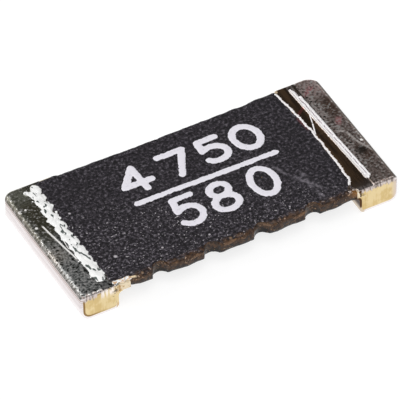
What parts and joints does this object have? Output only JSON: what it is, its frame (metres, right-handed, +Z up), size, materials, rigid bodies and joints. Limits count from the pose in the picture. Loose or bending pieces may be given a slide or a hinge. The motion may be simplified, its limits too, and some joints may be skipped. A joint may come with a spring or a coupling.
{
  "type": "current sense resistor",
  "caption": "Flat metal strip resistor that senses current on a circuit board, coated over its middle, with a plated terminal foot welded along each end.",
  "frame": {"origin": "middle of the seat, on the board under the centre of the part", "axes": "+X from the left terminal to the right one, +Y across to the plain far edge, +Z up from the board"},
  "size_m": [0.0064, 0.003, 0.0006],
  "materials": {
    "coating_epoxy": "fine grained charcoal epoxy, glossier and browner on its thin edges",
    "tin_plate": "bright matt tin, mottled and scratched",
    "terminal_copper": "pale gold cut face with fine vertical drag lines",
    "weld_metal": "bright rippled weld metal",
    "resistive_alloy": "plain rolled alloy strip",
    "marking_ink": "flat white print"
  },
  "bodies": {
    "root": {"resistive_element": "resistive_alloy", "left_terminal": "terminal_copper", "right_terminal": "terminal_copper", "left_tin_plate": "tin_plate", "right_tin_plate": "tin_plate", "left_weld_seam": "weld_metal", "right_weld_seam": "weld_metal", "coating": "coating_epoxy"}
  },
  "joints": []
}
